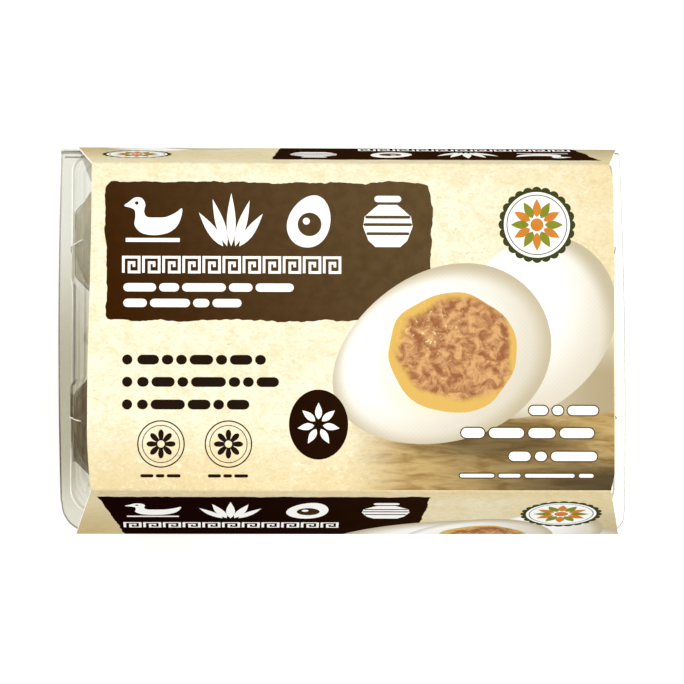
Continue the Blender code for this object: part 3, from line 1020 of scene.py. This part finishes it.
def lid_plan_at(z):
    """The lid plan's row at a height."""
    for low, high in zip(LID_PLAN, LID_PLAN[1:]):
        if z <= high[0]:
            break
    t = (z - low[0]) / (high[0] - low[0])
    return [a + (b - a) * t for a, b in zip(low, high)]


def make_panel_ridges():
    """A thin ridge up each edge of the raised panels on the lid's ends."""
    bm = bmesh.new()
    thick, sides, steps = 0.19, 8, 30
    for end in (-1, 1):
        for side, rise in ((-1, 27.0), (1, 29.0)):
            rings = []
            for i in range(steps + 1):
                up = rise * i / steps
                z, inset_x, inset_y, shift_y, relief = lid_plan_at(LID_FOOT + up)
                x = end * (WALL_X - inset_x + PANEL_RELIEF * relief)
                y = shift_y + panel_edge(side, up)
                r = thick * smooth(-1.0, 3.0, up) * smooth(rise + 1.5, rise - 4.0, up)
                rings.append((ellipse(x, y, r, r, sides), z))
            foot = loft(bm, rings[:1])
            bm.faces.new(foot[::-1])
            bm.faces.new(loft(bm, rings[1:], foot))
    # Their look paints a bright highlight up each panel's edge
    obj = round_object("panel_ridges", bm, (PAINTED_HIGHLIGHT,))
    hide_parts("clear_box")


def rounded_octagon(x, y, inradius, r):
    """An eight-sided mouth with rounded corners, anticlockwise."""
    reach, eighth = (inradius - r) / cos(pi / 8), pi / 4
    points = []
    for k in range(8):
        w = eighth * (k + 0.5)
        at = (x + reach * cos(w), y + reach * sin(w))
        points += arc(*at, r, w - eighth / 2, eighth, 4)
    return points


# Height of each ring of a cell, its inradius and its corners' radius
CELL_RINGS = (
    (19.15, 21.1, 9.0), (21.8, 21.6, 6.0), (24.4, 22.1, 4.0), (26.6, 22.55, 3.0),
    (26.9, 22.7, 3.0),
)


def make_cells():
    """Faceted cells that stand on the tray's floor round the cups."""
    bm = bmesh.new()
    for x, y in egg_centres():
        loft(bm, [(rounded_octagon(x, y, inradius, r), z) for z, inradius, r in CELL_RINGS])
    to_rim = SHEET_LOOKS.index(SHADED_CREASE) - SHEET_LOOKS.index(CELL)
    sheet_object("clear_cells", bm, [(CELL, list(bm.faces))], to_rim)


def make_tray():
    """Flange, tub wall and floor, with six cups down and small posts up."""
    bm = bmesh.new()
    rings = flange_rings(TRAY_FLANGE_Z, TRAY_TURN)
    for t in (0.5, 1.0):
        shift_y = BOX_SHIFT_Y + (TRAY_FLOOR_SHIFT_Y - BOX_SHIFT_Y) * t
        ring = wall_ring(0.9 * t, 1.1 * t, shift_y, 1.0)
        rings.append((ring, TRAY_FLANGE_Z - 0.7 - 6.4 * t))
    for i in range(1, 5):
        w = pi / 2 * i / 4
        turn_in = 1.2 * (1 - cos(w))
        ring = wall_ring(0.9 + turn_in, 1.1 + turn_in, TRAY_FLOOR_SHIFT_Y, 1.0)
        rings.append((ring, 20.35 - 1.3 * sin(w)))
    rim = loft(bm, rings)
    floor = rings[-1][1]
    # Radius and height down each cup and up each post
    cup = [(CUP_R + 0.6, floor), (CUP_R + 0.25, floor - 0.12), (CUP_R, floor - 0.4)]
    for i in range(1, 9):
        t = i / 8
        cup.append((CUP_R - 8.0 * t - 0.5 * sin(pi * t), floor - 0.4 - 15.6 * t))
    cup += [(11.9, 2.2), (11.2, 1.75), (10.2, 1.6), (4.0, 1.55)]
    post = [(4.6, floor), (4.35, floor + 0.4), (3.9, 26.0), (3.6, 28.6), (3.0, 29.6), (1.6, 30.0)]
    pin = [(2.1, floor), (1.95, floor + 0.3), (1.7, 25.6), (1.3, 26.3), (0.6, 26.5)]
    wells = [(x, y, cup) for x, y in egg_centres()]
    for side in (-1, 1):
        wells += [(side * 69.0, BOX_SHIFT_Y, post), (side * 70.6, -42.0, pin)]
    coords = [(v.co.x, v.co.y) for v in rim]
    faces = [list(range(len(coords)))]
    for x, y, profile in wells:
        faces.append(list(range(len(coords), len(coords) + CUP_STEPS)))
        coords += ellipse(x, y, profile[0][0], profile[0][0], CUP_STEPS)
    places, _, triangles, old, _, owners = delaunay_2d_cdt(
        [Vector(c) for c in coords], [], faces, 1, 1e-6, True
    )
    row, at = [], {}
    for p, sources in zip(places, old):
        source = min(sources, default=len(rim))
        row.append(rim[source] if source < len(rim) else bm.verts.new((p.x, p.y, floor)))
        at.update(dict.fromkeys(sources, row[-1]))
    for corner, owner in zip(triangles, owners):
        if list(owner) == [0]:
            bm.faces.new([row[i] for i in corner])
    for (x, y, profile), mouth in zip(wells, faces[1:]):
        down = [(ellipse(x, y, r, r, CUP_STEPS), z) for r, z in profile[1:]]
        bm.faces.new(loft(bm, down, [at[i] for i in mouth]))
    # Beside the eggs of the -X end the wall takes the cells' look, a painted reflection of the
    # dark eggs
    beside = band_faces(
        bm, FLANGE_BANDS + 2, FLANGE_BANDS + 7,
        lambda c: c.x < 0 and abs(abs(c.y - BOX_SHIFT_Y) - EGG_PITCH_Y / 2) < 9.6,
    )
    sheet_object("clear_tray", bm, flange_faces(bm) + [(CELL, beside)])


def make_hinge():
    """The living hinge: a rolled back edge that joins the flanges, and its two creases."""
    bm = bmesh.new()
    roll = [(0.62 * y, 27.98 + 0.8 * z) for y, z in arc(0.0, 0.0, 1.0, -pi / 2, pi, 10)]
    crease = [(0.0, 28.62), (0.1, 28.56), (0.3, 28.3), (0.5, 28.56), (0.6, 28.62)]
    wide = [(1.55 * y - 0.25, z) for y, z in crease]
    # The crease faces take a look that paints them dark at the -X end: painted shade
    shaded_crease_faces = []
    for at_y, reach, x0, x1, profile in (
        (53.75, 1.4, -80.0, -75.2, roll), (53.55, 0.6, -75.2, 79.0, roll),
        (53.16, 0.78, -80.0, 79.2, wide), (51.68, 0.95, -78.9, -72.6, crease),
        (51.95, 0.75, 72.0, 77.6, crease),
    ):
        last = None
        count = max(2, round(abs(x1 - x0) / 4))
        for k in range(count + 1):
            x = x0 + (x1 - x0) * k / count
            row = [bm.verts.new((x, at_y + y * reach, z)) for y, z in profile]
            if last:
                for i in range(len(profile) - 1):
                    face = bm.faces.new((last[i], row[i], row[i + 1], last[i + 1]))
                    if profile is not roll:
                        shaded_crease_faces.append(face)
            last = row
    sheet_object("hinge_strip", bm, [(SHADED_CREASE, shaded_crease_faces)], thickness=HINGE_SHEET)


# Each egg's length and breadth as shares of the common size, and how dark it is
EGG_KINDS = (
    (0.99, 1.01, 0.84), (1.005, 0.985, 0.35), (0.985, 0.995, 0.55),
    (1.000, 1.01, 0.2), (0.98, 0.985, 0.6), (0.995, 1.000, 0.25),
)


def make_egg(number, x, y, length, breadth, shade):
    bm = bmesh.new()
    rows, around = 48, 72
    seed = Vector((number * 7.3, 0.0, 0.0))
    rings = []
    for i in range(1, rows):
        along = -length / 2 * cos(pi * i / rows)
        top = length**2 - 4 * along**2
        bottom = length**2 + 8 * EGG_BELLY * along + 4 * EGG_BELLY**2
        radius = breadth / 2 * sqrt(top / bottom)
        ring = []
        for w in angles(around):
            way = Vector((cos(w), sin(w), along / 30))
            r = radius - EGG_UNEVEN + EGG_UNEVEN * noise.noise(way * 1.3 + seed)
            ring.append((x + r * way.x, y + r * way.y))
        rings.append((ring, EGG_TIP + length / 2 - along))
    first = loft(bm, rings[:1])
    last = loft(bm, rings[1:], first)
    for tip, ring in ((EGG_TIP + length, first[::-1]), (EGG_TIP, last)):
        pole = bm.verts.new((x, y, tip))
        for k in range(around):
            bm.faces.new((pole, ring[k], ring[(k + 1) % around]))
    obj = round_object(f"duck_egg_{number}", bm, (shell_look(number, shade),))
    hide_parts(f"egg_{number}")


# Floor, light and camera


def make_floor():
    """A pale floor that glows more towards +X and the back; the camera sees its glow in full, and
    all else by a quarter.
    """
    bm = bmesh.new()
    bmesh.ops.create_grid(bm, x_segments=1, y_segments=1, size=4000.0)
    for vert in bm.verts:
        vert.co.z = -0.02
    look = Look("pale_floor", 0.9, 0.0)
    look.set("Base Color", (0.42, 0.42, 0.415))
    look.set("Emission Color", (1.0, 1.0, 0.99))
    right = look.span(look.x, -0.06, 0.09)
    back = look.span(look.y, -0.03, 0.05, 0.0, 0.06)
    glow = look.plus(look.plus(right, back), 0.62)
    seen = look.node("LightPath").outputs["Is Camera Ray"]
    shown = look.span(seen, 0.0, 1.0, 0.25, 1.0, soft=False)
    look.set("Emission Strength", look.times(glow, shown))
    floor = plain_object("floor", bm, (look.made,))


def aim(obj, target):
    """Turns an object's -Z to the target, with +Y towards the picture's top."""
    back = (obj.location - Vector(target)).normalized()
    side = Vector((0, 1, 0)).cross(back).normalized()
    turn = Matrix((side, back.cross(side), back)).transposed()
    obj.rotation_euler = turn.to_euler()


def add_light(name, place, target, size, power, colour=(1.0, 1.0, 1.0)):
    data = bpy.data.lights.new(name, "AREA")
    data.shape = "RECTANGLE"
    data.size, data.size_y = size
    data.energy = power
    data.color = colour
    obj = new_object(name, data)
    obj.location = place
    aim(obj, target)


def make_studio():
    scene = bpy.context.scene
    scene.view_settings.view_transform = "Standard"
    world = bpy.data.worlds.new("studio")
    scene.world = world
    world.use_nodes = True
    back = world.node_tree.nodes["Background"]
    back.inputs[0].default_value = (1.0, 1.0, 0.995, 1.0)
    back.inputs[1].default_value = 0.34
    add_light("key", (-0.78, 0.36, 1.2), (0, 0, 0.03), (1.0, 1.0), 9.6, (1.0, 0.985, 0.95))
    add_light("top", (0.46, -0.46, 1.35), (0, 0, 0.03), (0.9, 0.9), 9.0)
    add_light("front_fill", (0.1, -1.0, 0.42), (0, -0.05, 0.045), (1.4, 0.35), 2.5)
    add_light("back_fill", (-0.1, 1.0, 0.42), (0, 0.05, 0.045), (1.4, 0.35), 3.0)
    add_light("left_strip", (-1.0, 0.0, 0.85), (0, 0, 0.03), (0.22, 2.0), 5.5)


CAMERA_DISTANCE = 1.2
LEAN_FRONT = radians(5.78)
LEAN_LEFT = radians(1.47)
CAMERA_LENS = 223.3
CAMERA_TARGET = (-0.26, -0.45, FOLD_Z)


def make_camera():
    data = bpy.data.cameras.new("camera")
    data.lens = CAMERA_LENS
    data.clip_start = 0.05
    obj = new_object("camera", data)
    target = Vector(CAMERA_TARGET) * MM
    lean = Vector((-sin(LEAN_LEFT), -sin(LEAN_FRONT), 0.0))
    lean.z = sqrt(1 - lean.x**2 - lean.y**2)
    obj.location = target + lean * CAMERA_DISTANCE
    aim(obj, target)
    bpy.context.scene.camera = obj


# Looks of the clear sheet. Their tints darken by place at the -X end: painted shade.
WALL = sheet_look(
    "clear_wall", gloom,
    ((0.955, 0.955, 0.935), (0.893, 0.881, 0.832)), ((0.92, 0.92, 0.89), (0.58, 0.56, 0.47)), 0.03,
    fade=0.9,
)
FLANGE = sheet_look(
    "clear_flange", gloom,
    ((0.938, 0.938, 0.912), (0.842, 0.832, 0.774)), ((0.97, 0.97, 0.96), (0.66, 0.64, 0.57)), 0.01,
    fade=0.9,
)
# The lip's cut edge: painted shade makes it darker towards the front of the -X end; at +X the lip
# takes a grey tint in glare
CUT_EDGE = sheet_look(
    "cut_edge", edge_gloom,
    ((0.992, 0.992, 0.99), (0.72, 0.69, 0.65)), ((0.985, 0.985, 0.982), (0.6, 0.57, 0.53)), 0.0,
    (srgb(236, 236, 234), srgb(92, 82, 76)), (0.0, 0.66),
)
GLARE_EDGE = sheet_look(
    "cut_edge_in_glare", edge_gloom,
    ((0.72, 0.72, 0.72), (0.8, 0.79, 0.77)), ((0.72, 0.72, 0.72), (0.7, 0.69, 0.67)), 0.0,
)
# Dark lines at the hinge's creases, the flute's foot and the cells' cut edges: painted shade,
# darkest at the -X end
SHADED_CREASE = sheet_look(
    "crease_painted_shade", edge_gloom,
    ((0.96, 0.96, 0.955), (0.52, 0.5, 0.47)), ((0.95, 0.95, 0.94), (0.5, 0.48, 0.45)), 0.01,
    (srgb(220, 219, 216), srgb(70, 66, 60)), (0.1, 0.9),
)
# Bright lines along the wall's foot and up the panels' ridges: a painted highlight, which painted
# shade dims in the middle of the -X end
PAINTED_HIGHLIGHT = sheet_look(
    "sheet_painted_highlight", foot_gloom,
    ((0.96, 0.96, 0.94), (0.82, 0.8, 0.74)), ((0.92, 0.92, 0.9), (0.7, 0.68, 0.62)), 0.03,
    (srgb(254, 254, 248), srgb(244, 240, 224)), (0.85, 0.0), fade=0.9,
)
# The cells' dark edge-on tint: a painted reflection of the eggs, darkest at the front of the -X
# end
CELL = sheet_look(
    "cell_sheet", cell_gloom,
    ((0.96, 0.96, 0.94), (0.95, 0.94, 0.91)), ((0.64, 0.61, 0.53), (0.36, 0.32, 0.25)), 0.02,
    power=1.5,
)
SHEET_LOOKS = (WALL, FLANGE, CUT_EDGE, GLARE_EDGE, SHADED_CREASE, PAINTED_HIGHLIGHT, CELL)
make_sleeve()
make_lid()
make_tray()
make_cells()
make_panel_ridges()
make_hinge()
for i, (centre, (long, wide, shade)) in enumerate(zip(egg_centres(), EGG_KINDS)):
    make_egg(i + 1, *centre, EGG_LENGTH * long, EGG_BREADTH * wide, shade)
make_floor()
make_studio()
make_camera()
